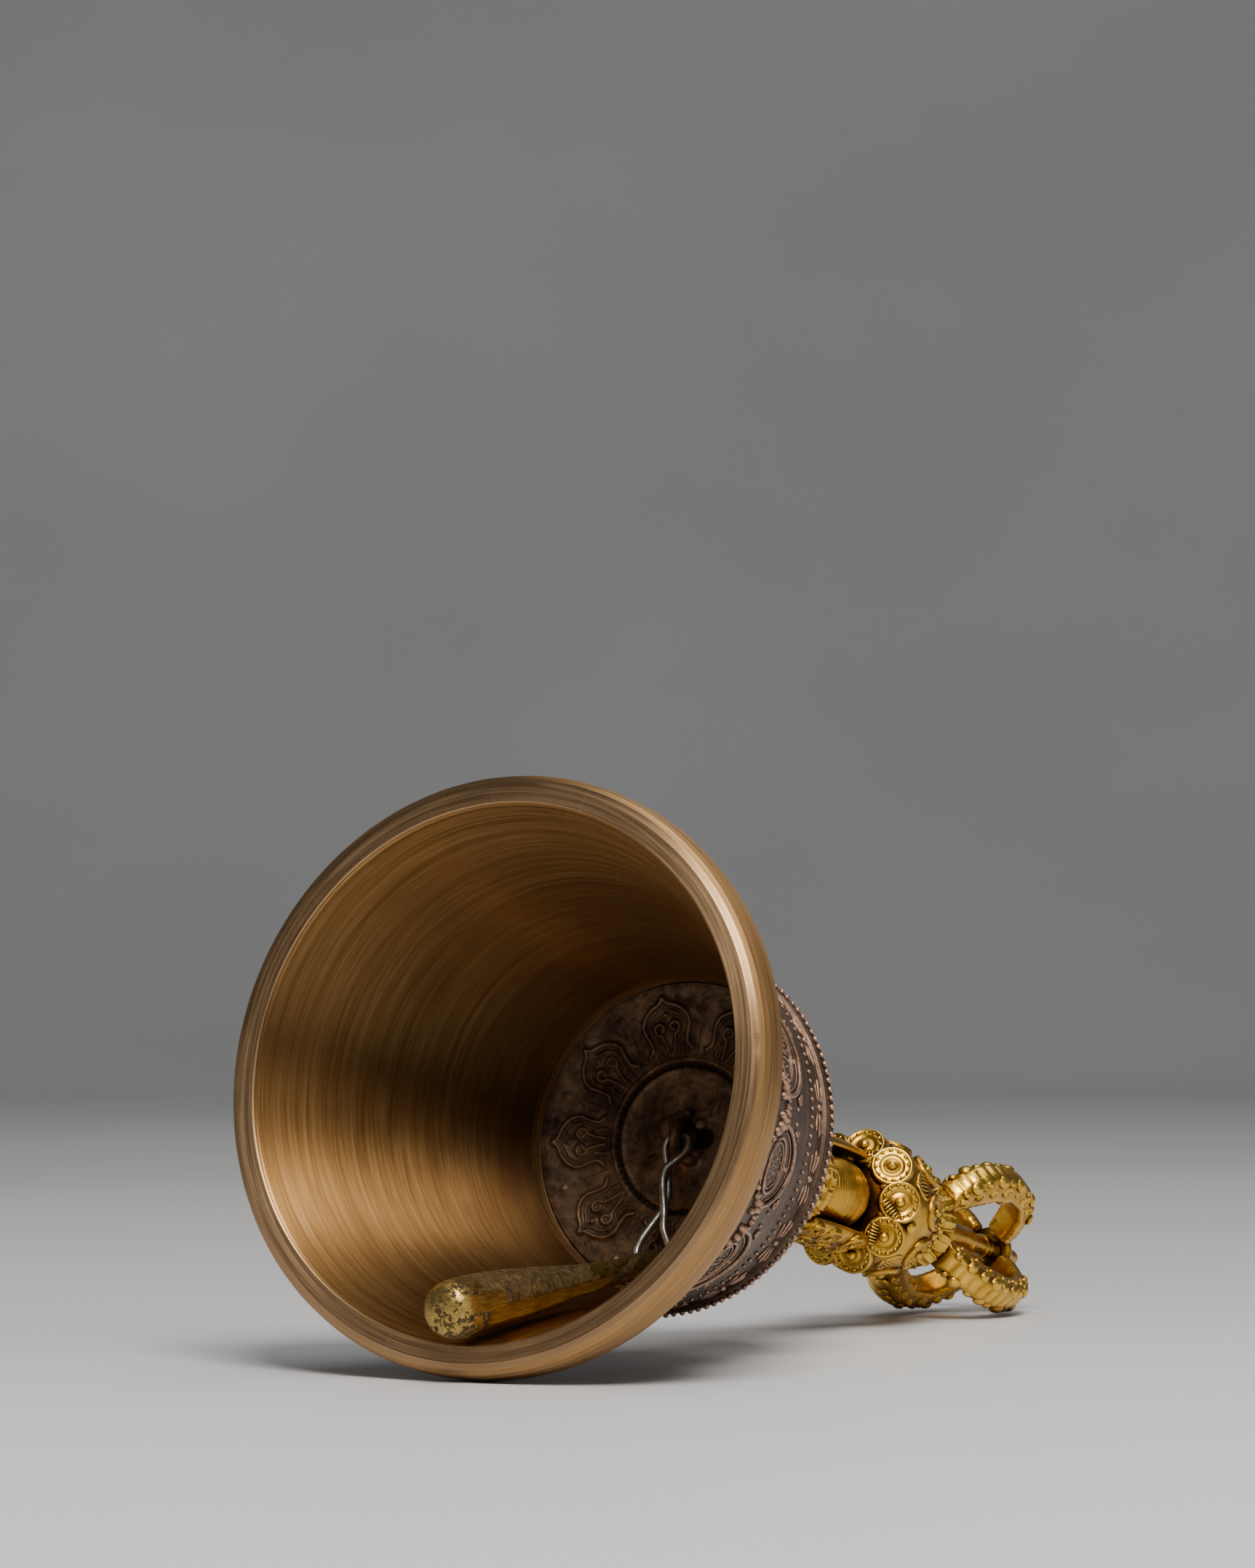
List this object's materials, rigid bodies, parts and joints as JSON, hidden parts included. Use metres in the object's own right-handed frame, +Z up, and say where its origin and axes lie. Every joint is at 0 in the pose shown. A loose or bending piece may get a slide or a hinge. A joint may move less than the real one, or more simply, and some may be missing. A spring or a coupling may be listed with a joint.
{
  "type": "tibetan hand bell",
  "caption": "Bronze hand bell with a turned mouth, a wire-hung brass clapper and a gilt half-vajra handle, lying on its side.",
  "frame": {"origin": "middle of the footprint of the lying bell, on the ground", "axes": "+X from the mouth toward the handle tip, +Z up, +Y sideways; the bell's axis lies in the XZ plane and falls 10.6 degrees toward the tip; the handle bends a further 0.7 degrees"},
  "size_m": [0.2122, 0.094, 0.0928],
  "materials": {
    "bell_bronze": "turned and brushed bronze, dark patina outside",
    "handle_gilt": "bright gilt casting",
    "clapper_brass": "sand cast with filed facets",
    "wire_steel": "galvanised",
    "rod_iron": "forged"
  },
  "bodies": {
    "bell": {"bell_shell": "bell_bronze", "handle_rod": "rod_iron", "base_lotus": "handle_gilt", "base_bead_ring": "handle_gilt", "handle_spool": "handle_gilt", "neck_ring": "handle_gilt", "lower_collar": "handle_gilt", "smooth_bulb": "handle_gilt", "upper_strap": "handle_gilt", "lower_strap": "handle_gilt", "medallion_hub": "handle_gilt", "hub_bead_ring": "handle_gilt", "petal_cup": "handle_gilt", "prong_upper_left": "handle_gilt", "prong_lower_left": "handle_gilt", "prong_lower_right": "handle_gilt", "prong_upper_right": "handle_gilt", "central_prong": "handle_gilt", "tip_cap": "handle_gilt"},
    "wire": {"clapper_wire": "wire_steel"},
    "striker": {"clapper": "clapper_brass"}
  },
  "joints": [
    {"name": "wire_swing", "type": "hinge", "parent": "bell", "child": "wire", "pos_m": [-0.02778, 0, 0.0354], "axis": [0, 1, 0], "range_deg": [0, 151.2]},
    {"name": "clapper_fold", "type": "hinge", "parent": "wire", "child": "striker", "pos_m": [-0.03729, 0, 0.01501], "axis": [0, -1, 0], "range_deg": [0, 123.6]}
  ],
  "couplings": [
    {"joint": "clapper_fold", "follows": "wire_swing", "ratio": 0.8174}
  ]
}
